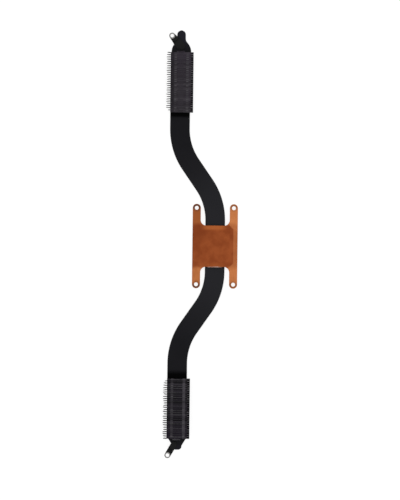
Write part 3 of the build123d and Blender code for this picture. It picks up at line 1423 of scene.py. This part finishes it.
@dataclass
class FinStack:
    """Row of folded fins that hook into each other across one end of the pipe."""

    end: PipeEnd
    finish: SatinPaint
    seed: int
    count: int = 28
    inner: float = 77.7785 * MM
    pitch: float = 1.285 * MM
    sheet: float = 0.2 * MM
    bend: float = 0.15 * MM
    left: float = -26.988 * MM
    right: float = -13.688 * MM
    overhang: float = 1.8 * MM
    open_strip: float = 1.4 * MM
    fold_gap: float = 0.05 * MM
    short_flange: float = 0.12 * MM
    nose: float = 2.4 * MM
    short_nose: float = 1.3 * MM
    nose_tip: float = 1.8 * MM
    nose_corner: float = 0.5 * MM
    tongue_first: float = 2.9 * MM
    tongue_spacing: float = 6.85 * MM
    tongue_width: float = 1.4 * MM
    tongue_reach: float = 0.5 * MM
    tongue_clearance: float = 0.05 * MM
    tab_half: float = 2.35 * MM
    tab_root: float = 0.15 * MM
    tab_length: float = 1.2 * MM
    crease: float = math.radians(40)
    nose_bend: float = 0.3 * MM
    nose_tilt: float = 0.035
    tilt_fade: Fade = Fade(0.0, 0.3)
    nose_wear: float = 0.45 * MM
    flange_sag: float = 0.06 * MM
    flange_slide: float = 0.13 * MM
    slide_grouping: float = 0.37
    slide_fade: Fade = Fade(0.35, 0.58)
    nose_rub: float = 0.35
    tab_rub: float = 0.3
    edge_rub: float = 0.1
    tongue_rub: float = 0.3
    corner_rub: float = 0.2
    plate_rub: float = 0.12
    strip_rub: float = 0.72
    rub_spread: float = 0.8
    shade_seed: float = 7.0

    def columns(self) -> list[float]:
        """Places across the fin where its shape changes.

        Returns:
            X of each column, from the nose's root to the open edge.
        """
        places = [self.left]
        for hook in range(len(HOOKS)):
            middle = self.left + self.tongue_first + hook * self.tongue_spacing
            places += [middle - self.tongue_width / 2, middle + self.tongue_width / 2]
        return places + [self.right - self.open_strip, self.right]

    def rows(self) -> list[Point]:
        """Middle line of the folded sheet, from the front tongue over the web to the back flange.

        Returns:
            Distance inwards from the web's outer face, and height, for each row.
        """
        half, bend = self.sheet / 2, self.bend
        front, back = FIN_FRONT - half, PIPE_FRONT + half
        top, bottom = front - bend, back + bend
        flange = self.pitch - self.fold_gap
        notch = self.tongue_reach + self.tongue_clearance
        rows = [(self.pitch + self.tongue_reach, front), (flange, front), (notch, front)]
        bend_cuts = FinRow.WEB_TOP - FinRow.FOLD
        web_cuts = FinRow.WEB_FOOT - FinRow.WEB_TOP
        rows += arc((half + bend, top), bend, 90, 180, bend_cuts)
        rows += [(half, top + (bottom - top) * (i + 1) / web_cuts) for i in range(web_cuts)]
        rows += arc((half + bend, bottom), bend, 180, 270, bend_cuts)[1:]
        return rows + [(flange, back)]

    def is_cut_away(self, kind: FinKind, column: int, row: int) -> bool:
        """Whether a cell of the fin's grid is left open.

        Args:
            kind: The fin's shape.
            column: Column of the cell.
            row: Row of the cell.

        Returns:
            Whether no sheet is there.
        """
        before_web = row < FinRow.WEB_TOP
        if kind is FinKind.END_PLATE:
            return before_web or row >= FinRow.WEB_FOOT
        if row == FinRow.TONGUE and column not in HOOKS:
            return True
        if before_web and column == len(self.columns()) - 2:
            return True
        notched = column in HOOKS and kind is not FinKind.OUTERMOST
        return notched and before_web and row >= FinRow.NOTCH

    def grid_point(
        self, sheet: FinSheet, kind: FinKind, column: int, row: int
    ) -> bmesh.types.BMVert:
        """Add the point at a crossing of the fin's grid.

        Args:
            sheet: The fin's sheet.
            kind: The fin's shape.
            column: Column of the crossing.
            row: Row of the crossing.

        Returns:
            The new point.
        """
        columns, rows = self.columns(), self.rows()
        inwards, z = rows[row]
        is_short = kind is FinKind.SHORT_NOSE
        if is_short and row == FinRow.TONGUE:
            inwards = self.pitch + self.sheet
        if is_short and row == len(rows) - 1:
            inwards -= self.short_flange
        at_corner = column in (0, len(columns) - 2)
        edge_rub = self.corner_rub if at_corner else self.edge_rub
        rub = {FinRow.TONGUE: self.tongue_rub, FinRow.EDGE: edge_rub}.get(row, 0.0)
        point = sheet.point(columns[column], inwards, z, rub)
        if row <= FinRow.FOLD:
            point[sheet.flange_reach] = max(inwards - self.sheet, 0.0) / self.pitch
        if row == FinRow.EDGE and not is_short:
            point[sheet.flange_end] = 1.0
        return point

    def fin_mesh(self, kind: FinKind, number: int) -> bpy.types.Mesh:
        """One fin as a single sheet without thickness, standing in its own place.

        Args:
            kind: The fin's shape.
            number: Its number in the stack, counted outwards from 1.

        Returns:
            The sheet; its points carry how far along a nose or a flange they are, and their rub.
        """
        sheet = FinSheet(self.inner + (number - 1) * self.pitch + self.sheet, self.end.value)
        cells = range(len(self.columns()) - 1)
        is_plate = kind is FinKind.END_PLATE
        made: dict[tuple[int, int], bmesh.types.BMVert] = {}

        def grid(column: int, row: int) -> bmesh.types.BMVert:
            """The point at a crossing of the fin's grid, made when it is first asked for."""
            if (column, row) not in made:
                made[column, row] = self.grid_point(sheet, kind, column, row)
            return made[column, row]

        for column in cells:
            for row in range(len(self.rows()) - 1):
                if not self.is_cut_away(kind, column, row):
                    near = (grid(column, row), grid(column + 1, row))
                    sheet.face(*near, grid(column + 1, row + 1), grid(column, row + 1))

        # Square edges of the web where no flange is folded over
        tops = [column for column in cells if column not in HOOKS] if is_plate else [cells[-1]]
        rub = self.plate_rub if is_plate else self.strip_rub
        squares = [(column, FinRow.WEB_TOP, FIN_FRONT, rub) for column in tops]
        if is_plate:
            squares += [(column, FinRow.WEB_FOOT, PIPE_FRONT, 0.0) for column in cells]
        for column, row, level, rub in squares:
            near = (grid(column, row), grid(column + 1, row))
            far = [sheet.point(point.co.x, self.sheet / 2, level, rub) for point in near]
            sheet.face(*near, far[1], far[0])

        if is_plate:
            sheet.merge()
        else:
            root = [grid(0, row) for row in range(FinRow.WEB_TOP, FinRow.WEB_FOOT + 1)]
            self.add_nose(sheet, self.short_nose if kind is FinKind.SHORT_NOSE else self.nose, root)
        if kind is FinKind.OUTERMOST:
            self.add_tab(sheet)
        return sheet.mesh(f"{self.end.title}_{kind.value}")

    def add_nose(self, sheet: FinSheet, length: float, root: Ring) -> None:
        """Add the tapered nose that stands out past the pipe.

        Args:
            sheet: The fin's sheet.
            length: Length of the nose.
            root: Points of the web that the nose grows from.
        """
        root_half = abs(root[0].co.z - FIN_MIDDLE)
        previous = root
        for share in NOSE_CUTS:
            to_round = self.nose_corner - min((1 - share) * length, self.nose_corner)
            taper = root_half + (self.nose_tip / 2 - root_half) * share
            taper -= self.nose_corner - leg(self.nose_corner, to_round)
            current = []
            for point in root:
                z = FIN_MIDDLE + (point.co.z - FIN_MIDDLE) * taper / root_half
                x, rub = self.left - share * length, self.nose_rub * share**2
                current.append(sheet.point(x, self.sheet / 2, z, rub))
                current[-1][sheet.nose_reach] = share * length / self.nose
            for i in range(len(root) - 1):
                sheet.face(previous[i], previous[i + 1], current[i + 1], current[i])
            previous = current

    def add_tab(self, sheet: FinSheet) -> None:
        """Add the tab that is soldered to the pipe.

        Args:
            sheet: The fin's sheet.
        """
        middle = (self.left + self.right - self.overhang) / 2
        level = PIPE_FRONT + self.sheet / 2
        root, tip = self.tab_root, -self.tab_length
        corners = []
        for side, inwards in ((-1, root), (1, root), (1, tip), (-1, tip)):
            corners.append(sheet.point(middle + side * self.tab_half, inwards, level, self.tab_rub))
        sheet.face(*corners)

    def fin_object(self, kind: FinKind, number: int) -> bpy.types.Object:
        """One fin with its sheet thickness.

        Args:
            kind: The fin's shape.
            number: Its number in the stack.

        Returns:
            The fin, for the stack's rule to use.
        """
        fin = add_object(f"{self.end.title}_{kind.value}", self.fin_mesh(kind, number))
        thicken = fin.modifiers.new("sheet", "SOLIDIFY")
        thicken.thickness = self.sheet
        thicken.offset = 0.0
        thicken.use_even_offset = True
        settle(fin)
        fin.data.set_sharp_from_angle(angle=self.crease)
        return fin

    def build(self) -> bpy.types.Object:
        """Repeat the fins along the pipe, each a little different.

        Returns:
            The finished stack.
        """
        stack = add_object(f"{self.end.title}_fin_stack", bpy.data.meshes.new("fin_stack"))
        numbers = dict(zip(FinKind, (1, 2, 3, self.count)))
        fins = {kind: self.fin_object(kind, number) for kind, number in numbers.items()}
        rule = RuleTree(f"{self.end.title} fin row")
        row = self.repeat(rule, fins)
        seed = rule.size("Seed", "Int", self.seed)
        row = self.loosen(rule, row, seed)
        shade = self.draw(rule, rule.plus(seed, self.shade_seed), 0.0, 1.0)
        row = rule.store(row, "fin_shade", "FLOAT", shade)
        least, most = 1 - self.rub_spread, 1 + self.rub_spread
        uneven = self.draw(rule, rule.plus(seed, RUB_SEED), least, most)
        row = rule.store(row, "rubbed", "FLOAT", rule.times(rule.named("rubbed"), uneven))
        rule.close(row, rule.size("Paint", "Material", self.finish.material()))
        rule.apply(stack)
        for fin in fins.values():
            bpy.data.objects.remove(fin)
        return stack

    def repeat(self, rule: RuleTree, fins: dict[FinKind, bpy.types.Object]) -> Socket:
        """Put the fins in a row, and number them.

        Args:
            rule: The tree to work in.
            fins: One fin of each shape.

        Returns:
            The row, in which each fin can still move.
        """
        repeats = rule.size("Plain Fins", "Int", self.count - len(fins) + 1)
        pitch = rule.size("Pitch", "Float", self.end.value * self.pitch)
        feeds = {"Count": repeats, "Offset": rule.join(Y=pitch)}
        line = rule.place("GeometryNodeMeshLine", feeds, mode="OFFSET").outputs[0]
        parts = []
        for kind, fin in fins.items():
            shape = rule.carried(rule.size(kind.value.replace("_", " "), "Object", fin))
            if kind is FinKind.PLAIN:
                feeds = {"Points": line, "Instance": shape}
                parts.append(rule.place("GeometryNodeInstanceOnPoints", feeds))
            else:
                parts.append(rule.place("GeometryNodeGeometryToInstance", {"Geometry": shape}))
        joined = rule.place("GeometryNodeJoinGeometry")
        for part in reversed(parts):
            rule.feed(joined, "Geometry", part.outputs[0])
        index = rule.place("GeometryNodeInputIndex").outputs[0]
        numbered = rule.store(joined.outputs[0], "fin_number", "INT", index, "INSTANCE")
        return rule.place("GeometryNodeRealizeInstances", {"Geometry": numbered}).outputs[0]

    def loosen(self, rule: RuleTree, row: Socket, seed: Socket) -> Socket:
        """Lean, twist and shorten the noses, and let the front flanges sag and slide.

        Args:
            rule: The tree to work in.
            row: The row of fins.
            seed: The stack's fixed seed.

        Returns:
            The row with its points moved.
        """
        bend = rule.size("Nose Bend", "Float", self.nose_bend)
        tilt = rule.size("Nose Tilt", "Float", self.end.value * self.nose_tilt)
        wear = rule.size("Nose Wear", "Float", self.nose_wear)
        sag = rule.size("Flange Sag", "Float", self.flange_sag)
        slide = rule.size("Flange Slide", "Float", -self.end.value * self.flange_slide)

        along = rule.named("nose_reach")
        further = rule.times(along, along)
        lean = rule.times(self.draw(rule, seed, rule.times(bend, -1.0), bend), further)
        height = rule.minus(rule.split(rule.position())["Z"], FIN_MIDDLE)
        twist = rule.times(rule.times(height, tilt), rule.fade(along, self.tilt_fade))
        short = rule.times(self.draw(rule, rule.plus(seed, WEAR_SEED), 0.0, wear), further)

        drop = self.draw(rule, rule.plus(seed, SAG_SEED), 0.0, sag)
        drop = rule.times(drop, rule.named("flange_reach"))
        number = rule.times(rule.named("fin_number", "INT"), self.slide_grouping)
        feeds = {"W": rule.plus(number, seed), "Scale": 1.0, "Detail": 1.0}
        grouped = rule.place("ShaderNodeTexNoise", feeds, noise_dimensions="1D").outputs[0]
        slid = rule.times(slide, rule.fade(grouped, self.slide_fade))
        slid = rule.times(slid, rule.named("flange_end"))

        sideways = rule.plus(rule.plus(lean, twist), slid)
        shift = rule.join(X=short, Y=sideways, Z=rule.times(drop, -1.0))
        feeds = {"Geometry": row, "Offset": shift}
        return rule.place("GeometryNodeSetPosition", feeds).outputs[0]

    @staticmethod
    def draw(rule: RuleTree, seed: Socket, low: Any, high: Any) -> Socket:
        """Draw one random number for each fin.

        Args:
            rule: The tree to work in.
            seed: The fixed seed.
            low: Lowest number.
            high: Highest number.

        Returns:
            The socket of the number.
        """
        which = rule.named("fin_number", "INT")
        feeds = {"Min_001": low, "Max_001": high, "ID": which, "Seed": seed}
        node = rule.place("FunctionNodeRandomValue", feeds, data_type="FLOAT")
        return next(s for s in node.outputs if s.identifier == "Value_001")

    def solids(self) -> list[str]:
        """Names of the solids that the stack stands for."""
        return [f"{self.end.title}_fin_{number:02d}" for number in range(1, self.count + 1)]


@dataclass
class ScrewEar:
    """Joggled strip on one end of the pipe, with a screw hole in its ring."""

    end: PipeEnd
    finish: RingedPaint
    foot: Point
    hole: Point
    foot_radius: float
    ring_radius: float = 1.75 * MM
    end_cuts: int = 24
    hole_radius: float = 1.05 * MM
    hole_chamfer: float = 0.04 * MM
    hole_lip: float = 0.08 * MM
    sheet: float = 0.5 * MM
    back_chamfer: float = 0.06 * MM
    front_lip: float = 0.1 * MM
    rise: float = 0.8 * MM
    flat_reach: float = 3.1 * MM
    bend_angle: float = math.radians(45)
    bend_spread: float = 0.25 * MM
    spread_cuts: int = 4
    bend_step: float = 0.15 * MM
    steps_before: int = 12
    steps_after: int = 4
    crease: float = math.radians(50)

    @property
    def length(self) -> float:
        """Distance from the foot's centre to the hole."""
        return math.dist(self.foot, self.hole)

    @property
    def bend_end(self) -> float:
        """Distance from the foot's centre to where the strip is flat again."""
        return self.length - self.flat_reach

    def outline(self, inset: float) -> list[Point]:
        """Plan of the strip along its own length: two round ends and the lines that touch both.

        Args:
            inset: How far the outline draws in.

        Returns:
            The closed outline.
        """
        lean = math.degrees(math.acos((self.foot_radius - self.ring_radius) / self.length))
        ring = arc((self.length, 0.0), self.ring_radius - inset, -lean, lean, self.end_cuts)
        return ring + arc((0.0, 0.0), self.foot_radius - inset, lean, 360 - lean, self.end_cuts)

    def ramp(self, along: float) -> float:
        """Share of the rise that the strip has climbed at a distance, if its bends were sharp."""
        return clamp((along - self.bend_end + self.rise) / self.rise)

    def flat_shape(self) -> SheetShape:
        """Form the ear flat, with cuts where it will bend.

        Returns:
            The shape, along its own length.
        """
        strip = SheetShape()
        thick, chamfer, lip = self.sheet, self.hole_chamfer, self.hole_lip
        rim = lipped(0.0, thick, self.back_chamfer, self.front_lip)
        back, front = strip.wall(self.outline, rim)
        bore = [(chamfer, 0.0), (0.0, chamfer), (0.0, thick - lip), (lip, thick)]
        centre = (self.length, 0.0)
        hole = strip.wall(lambda grow: circle(centre, self.hole_radius + grow), bore)
        strip.cover(back, hole[0])
        strip.cover(front, hole[1])
        for cut in range(-self.steps_before, self.steps_after + 1):
            place = (self.bend_end + cut * self.bend_step, 0.0, 0.0)
            parts = [*strip.shape.verts, *strip.shape.edges, *strip.shape.faces]
            across = (1.0, 0.0, 0.0)
            bmesh.ops.bisect_plane(strip.shape, geom=parts, plane_co=place, plane_no=across)
        return strip

    def build(self) -> bpy.types.Object:
        """Bend the flat ear up and put it in its place.

        Returns:
            The finished ear.
        """
        strip = self.flat_shape()
        turn = math.atan2(self.hole[1] - self.foot[1], self.hole[0] - self.foot[0])
        lead = math.tan(self.bend_angle / 2)
        for point in strip.shape.verts:
            along, aside, z = point.co
            climb = softened(self.ramp, along + lead * z, self.bend_spread, self.spread_cuts)
            x = self.foot[0] + along * math.cos(turn) - aside * math.sin(turn)
            y = self.foot[1] + along * math.sin(turn) + aside * math.cos(turn)
            point.co = (x, y, PIPE_FRONT + z + self.rise * climb)
        mesh = strip.mesh(f"{self.end.title}_screw_ear")
        mesh.set_sharp_from_angle(angle=self.crease)
        return add_object(f"{self.end.title}_screw_ear", mesh, self.finish.material())


@dataclass
class SolderSeam:
    """Thin run of solder where the plate's throat meets the pipe."""

    name: str
    finish: SoftSolder
    level_y: float
    seed: float
    half_length: float = 4.6 * MM
    radius: float = 0.34 * MM
    unevenness: float = 1.0
    climb: float = 0.0
    fullness: float = 0.95
    taper_power: float = 0.25
    lumps: Noise = Noise(620.0, 2.0)
    run_points: int = 48
    ring_points: int = 12

    def build(self) -> bpy.types.Object:
        """Sweep an uneven bead along the throat.

        Returns:
            The finished bead.
        """
        seam = add_object(self.name, bpy.data.meshes.new(self.name))
        rule = RuleTree(f"{self.name} bead")
        half = rule.size("Half Length", "Float", self.half_length)
        radius = rule.size("Radius", "Float", self.radius)
        place = rule.size("Place Y", "Float", self.level_y)
        level = rule.size("Level", "Float", PIPE_FRONT + self.climb)
        seed = rule.size("Seed", "Float", self.seed)
        rough = rule.size("Unevenness", "Float", self.unevenness)
        solder = rule.size("Solder", "Material", self.finish.material())

        start, end = (rule.join(X=x, Y=place, Z=level) for x in (rule.times(half, -1.0), half))
        line = rule.place("GeometryNodeCurvePrimitiveLine", {"Start": start, "End": end}).outputs[0]
        feeds = {"Curve": line, "Count": self.run_points}
        line = rule.place("GeometryNodeResampleCurve", feeds).outputs[0]

        # Full in the middle and drawn out to both ends
        along = rule.place("GeometryNodeSplineParameter").outputs["Factor"]
        taper = rule.times(rule.times(along, rule.minus(1.0, along)), 4.0)
        taper = rule.maths("POWER", taper, self.taper_power)
        feeds = {"W": seed, "Scale": self.lumps.scale, "Detail": self.lumps.detail}
        feeds["Vector"] = rule.position()
        lumpy = rule.place("ShaderNodeTexNoise", feeds, noise_dimensions="4D").outputs[0]
        lumpy = rule.plus(rule.times(rule.minus(lumpy, MEAN_NOISE), rough), self.fullness)
        thick = rule.times(rule.times(taper, radius), lumpy)

        feeds = {"Resolution": self.ring_points, "Radius": 1.0}
        ring = rule.place("GeometryNodeCurvePrimitiveCircle", feeds).outputs[0]
        feeds = {"Curve": line, "Profile Curve": ring, "Scale": thick, "Fill Caps": True}
        bead = rule.place("GeometryNodeCurveToMesh", feeds).outputs[0]
        rule.close(rule.smooth(bead), solder)
        rule.apply(seam)
        return seam


@dataclass
class Studio:
    """Plain pale floor, soft light from above and a camera straight over the part."""

    floor_half: float = 6.0
    floor_drop: float = 0.02 * MM
    floor_colour: Colour = (0.22, 0.22, 0.22)
    floor_roughness: float = 0.9
    floor_gloss: float = 0.1
    floor_white: float = 0.84
    lamp_place: Place = (0.15, -0.1, 1.9)
    lamp_side: float = 4.6
    lamp_power: float = 4.5
    view_x: float = -8.69 * MM
    view_y: float = -2.29 * MM
    view_height: float = 1.2
    view_tall: float = 291.6 * MM
    roll: float = 0.0115

    def floor(self) -> None:
        """Lay the floor under the pipe, white where it is seen."""
        half, level = self.floor_half, PIPE_BACK - self.floor_drop
        corners = [(x * half, y * half, level) for x, y in ((-1, -1), (1, -1), (1, 1), (-1, 1))]
        mesh = bpy.data.meshes.new("floor")
        mesh.from_pydata(corners, [], [(0, 1, 2, 3)])
        pale = Surface("white_floor")
        path = pale.place("ShaderNodeLightPath").outputs
        seen = pale.maths("MAXIMUM", path["Is Camera Ray"], path["Is Glossy Ray"])
        seen = pale.maths("MAXIMUM", seen, path["Is Transmission Ray"])
        pale.set(
            Base_Color=(*self.floor_colour, 1.0),
            Roughness=self.floor_roughness,
            Specular_IOR_Level=self.floor_gloss,
            Emission_Color=(1.0, 1.0, 1.0, 1.0),
            Emission_Strength=pale.fade(seen, Fade(0.0, 1.0, 0.0, self.floor_white)),
        )
        floor = add_object("floor", mesh, pale.material)

    def light(self) -> None:
        """Hang one wide soft light, and fill in from the world."""
        lamp = bpy.data.lights.new("ceiling_light", "AREA")
        lamp.shape = "RECTANGLE"
        lamp.size, lamp.size_y = self.lamp_side, self.lamp_side
        lamp.energy = self.lamp_power
        ceiling = bpy.data.objects.new("ceiling_light", lamp)
        ceiling.location = self.lamp_place
        ceiling.rotation_euler = (-Vector(self.lamp_place)).to_track_quat("-Z", "Y").to_euler()
        bpy.context.scene.collection.objects.link(ceiling)

        world = bpy.data.worlds.new("studio_world")
        world.use_nodes = True
        bpy.context.scene.world = world
        air = Wiring(world.node_tree)
        air.tree.nodes.clear()
        sky = air.place("ShaderNodeBackground", {"Color": (1.0, 1.0, 1.0, 1.0), "Strength": 1.0})
        air.place("ShaderNodeOutputWorld", {"Surface": sky.outputs[0]})

    def camera(self) -> None:
        """Hang the camera over the part, turned as the photograph was."""
        lens = bpy.data.cameras.new("camera")
        lens.lens = lens.sensor_width * self.view_height / self.view_tall
        eye = bpy.data.objects.new("camera", lens)
        eye.location = (self.view_x, self.view_y, self.view_height)
        eye.rotation_euler = (0.0, 0.0, self.roll)
        bpy.context.scene.collection.objects.link(eye)
        bpy.context.scene.camera = eye


def fin_stacks() -> list[FinStack]:
    """The two stacks in their own paints: an even, faded one and a loose, darker one.

    Returns:
        The stacks, ready to build.
    """
    faded = WeatheredPaint(
        "faded_black_fin_paint",
        body=(0.0138, 0.0119, 0.0145),
        cloud=(0.0251, 0.0216, 0.0268),
        rubbed=(0.25, 0.238, 0.254),
        bloom=(0.0257, 0.0191, 0.0298),
        pale=(0.054, 0.0485, 0.0565),
        fin_spread=0.4,
        dark_spread=0.24,
        even_fade=Fade(1.1 * MM, 1.9 * MM, 0.08, 1.0),
        stripes=(
            Stripe(-26.4 * MM, 1.6 * MM, 0.9, (0.0065, 0.006, 0.0075)),
            Stripe(-24.088 * MM, 0.75 * MM, 0.2, (0.030, 0.028, 0.032)),
            Stripe(-17.0 * MM, 0.88 * MM, 0.55, (0.046, 0.043, 0.049)),
        ),
    )
    dark = WeatheredPaint(
        "black_fin_paint",
        body=(0.0030, 0.0028, 0.0035),
        cloud=(0.0057, 0.0051, 0.0066),
        rubbed=(0.205, 0.195, 0.21),
        bloom=(0.0113, 0.0071, 0.0148),
        pale=(0.0215, 0.0182, 0.0246),
        gloss=0.055,
        fin_spread=0.6,
        stripes=(
            Stripe(-24.088 * MM, 0.8 * MM, 0.68, (0.038, 0.034, 0.040)),
            Stripe(-17.15 * MM, 0.88 * MM, 1.0, (0.054, 0.049, 0.057)),
        ),
    )
    even = FinStack(
        PipeEnd.FILL,
        faded,
        seed=4,
        bend=0.07 * MM,
        flange_sag=0.04 * MM,
        tab_rub=0.06,
        edge_rub=0.06,
        tongue_rub=0.28,
        corner_rub=0.09,
        strip_rub=0.64,
        shade_seed=17.0,
    )
    loose = FinStack(
        PipeEnd.BLIND,
        dark,
        seed=9,
        inner=77.3785 * MM,
        bend=0.17 * MM,
        flange_sag=0.1 * MM,
        flange_slide=0.2 * MM,
        fold_gap=0.16 * MM,
        nose_tilt=0.06,
        nose_wear=0.6 * MM,
        tab_rub=0.2,
        edge_rub=0.23,
        corner_rub=0.1,
        plate_rub=0.05,
    )
    return [even, loose]


def main() -> None:
    """Build the heatsink's pieces in order and light them."""
    logging.basicConfig(level=logging.INFO, format="%(name)s: %(message)s")
    log.info("frame of %d solids", len(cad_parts))
    bpy.context.scene.view_settings.view_transform = "Standard"
    studio = Studio()
    studio.floor()
    studio.light()
    studio.camera()

    pipe_paint = DrawnPaint(
        "satin_black_pipe_paint",
        body=(0.0029, 0.0028, 0.0042),
        cloud=(0.0052, 0.0050, 0.0068),
        rubbed=(0.03, 0.03, 0.032),
    )
    dress(HeatPipe(pipe_paint).build(), "black_pipe", "heat_pipe")

    copper = TarnishedCopper(
        "tarnished_copper",
        dull=(0.335, 0.096, 0.028),
        bright=(0.60, 0.215, 0.076),
        body=(0.232, 0.050, 0.0145),
        body_cloud=(0.325, 0.080, 0.024),
        stained=(0.192, 0.039, 0.0115),
        # Painted reflection along the throats
        buffed=(0.43, 0.118, 0.031),
        rim=(0.115, 0.042, 0.022),
        streak=(0.201, 0.0576, 0.0168),
        body_half=(10.675 * MM, 12.0 * MM),
        hole_place=(10.825 * MM, 22.3 * MM),
        hole_radius=1.15 * MM,
    )
    dress(ColdPlate(copper).build(), "bare_copper", "cold_plate")

    dark = SoftSolder("flux_stained_solder", (0.12, 0.05, 0.03), (0.05, 0.024, 0.018))
    pale = SoftSolder("dull_solder", (0.40, 0.287, 0.25), (0.313, 0.187, 0.15))
    upper_seam = SolderSeam("upper_solder_seam", dark, 12.0 * MM, seed=2.0, radius=0.36 * MM)
    lower_seam = SolderSeam(
        "lower_solder_seam",
        pale,
        -11.92 * MM,
        seed=7.0,
        radius=0.58 * MM,
        unevenness=0.3,
        climb=0.52 * MM,
    )
    for seam in (upper_seam, lower_seam):
        dress(seam.build(), "bare_copper")

    for stack in fin_stacks():
        dress(stack.build(), "black_fin", *stack.solids())

    ears = (
        (PipeEnd.FILL, (-21.438 * MM, 116.7735 * MM), (-26.338 * MM, 122.5735 * MM), 2.7 * MM),
        (PipeEnd.BLIND, (-22.638 * MM, -115.8735 * MM), (-26.338 * MM, -122.1735 * MM), 1.8 * MM),
    )
    for end, foot, hole, foot_radius in ears:
        paint = RingedPaint(
            f"{end.title}_ringed_paint",
            body=(0.004, 0.004, 0.004),
            cloud=(0.008, 0.008, 0.008),
            rubbed=(0.04, 0.04, 0.04),
            hole=hole,
        )
        ear = ScrewEar(end, paint, foot, hole, foot_radius)
        dress(ear.build(), "black_ear", f"{end.title}_ear")


if __name__ == "__main__":
    main()
